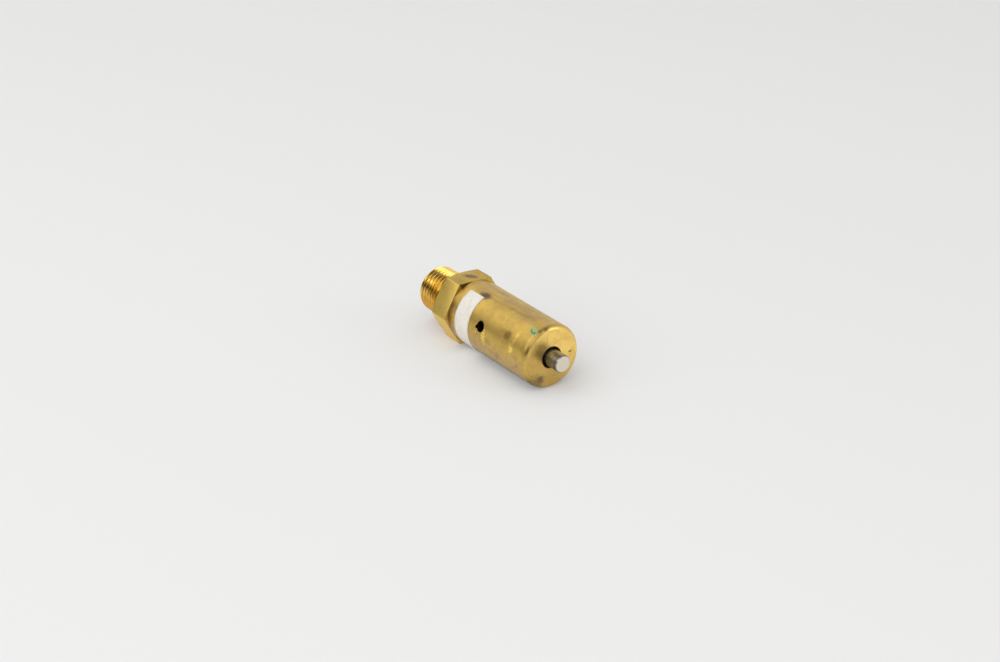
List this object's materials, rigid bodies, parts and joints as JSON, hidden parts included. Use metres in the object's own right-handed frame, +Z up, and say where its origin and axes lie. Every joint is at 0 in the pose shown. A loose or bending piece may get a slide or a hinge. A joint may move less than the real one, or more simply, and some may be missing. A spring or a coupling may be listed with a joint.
{
  "type": "spring safety valve",
  "caption": "Small brass spring safety valve: hexagon with a male taper pipe thread, round spring cage with side vents, and a steel spindle end.",
  "frame": {"origin": "under the middle of the valve's box, on the surface that the valve lies on", "axes": "+X along the valve's axis from the threaded inlet to the spindle's end, +Z up with a flat of the hexagon facing down"},
  "size_m": [0.0612, 0.0212, 0.0184],
  "materials": {
    "body_brass": "bright turned thread, satin aged hexagon",
    "cage_brass": "satin, aged, with darker stains and worn bright marks",
    "inner_brass": "turned, clean",
    "label_film": "matte white, slightly soiled",
    "seat_rubber": "black, matte",
    "washer_steel": "stamped, plain",
    "spring_steel": "drawn wire",
    "spindle_steel": "drawn, grey, with a bright ground end"
  },
  "bodies": {
    "housing": {"valve_body": "body_brass", "spring_cage": "cage_brass", "rating_label": "label_film", "upper_spring_guide": "inner_brass", "set_shim_1": "washer_steel", "set_shim_2": "washer_steel", "valve_spring": "spring_steel"},
    "spring_seat": {"lower_spring_seat": "washer_steel"},
    "spindle_group": {"spindle": "spindle_steel", "poppet": "inner_brass", "seat_disc": "seat_rubber", "disc_washer": "inner_brass", "disc_nut": "inner_brass"}
  },
  "joints": [
    {"name": "spindle_lift", "type": "slide", "parent": "housing", "child": "spring_seat", "axis": [1, 0, 0], "range_m": [0, 0.0025], "stiffness_N_per_m": 200, "springref_m": -0.003, "deforming": ["valve_spring"]},
    {"name": "spindle_turn", "type": "hinge", "parent": "spring_seat", "child": "spindle_group", "pos_m": [0, 0, 0.0092], "axis": [1, 0, 0], "continuous": true}
  ]
}
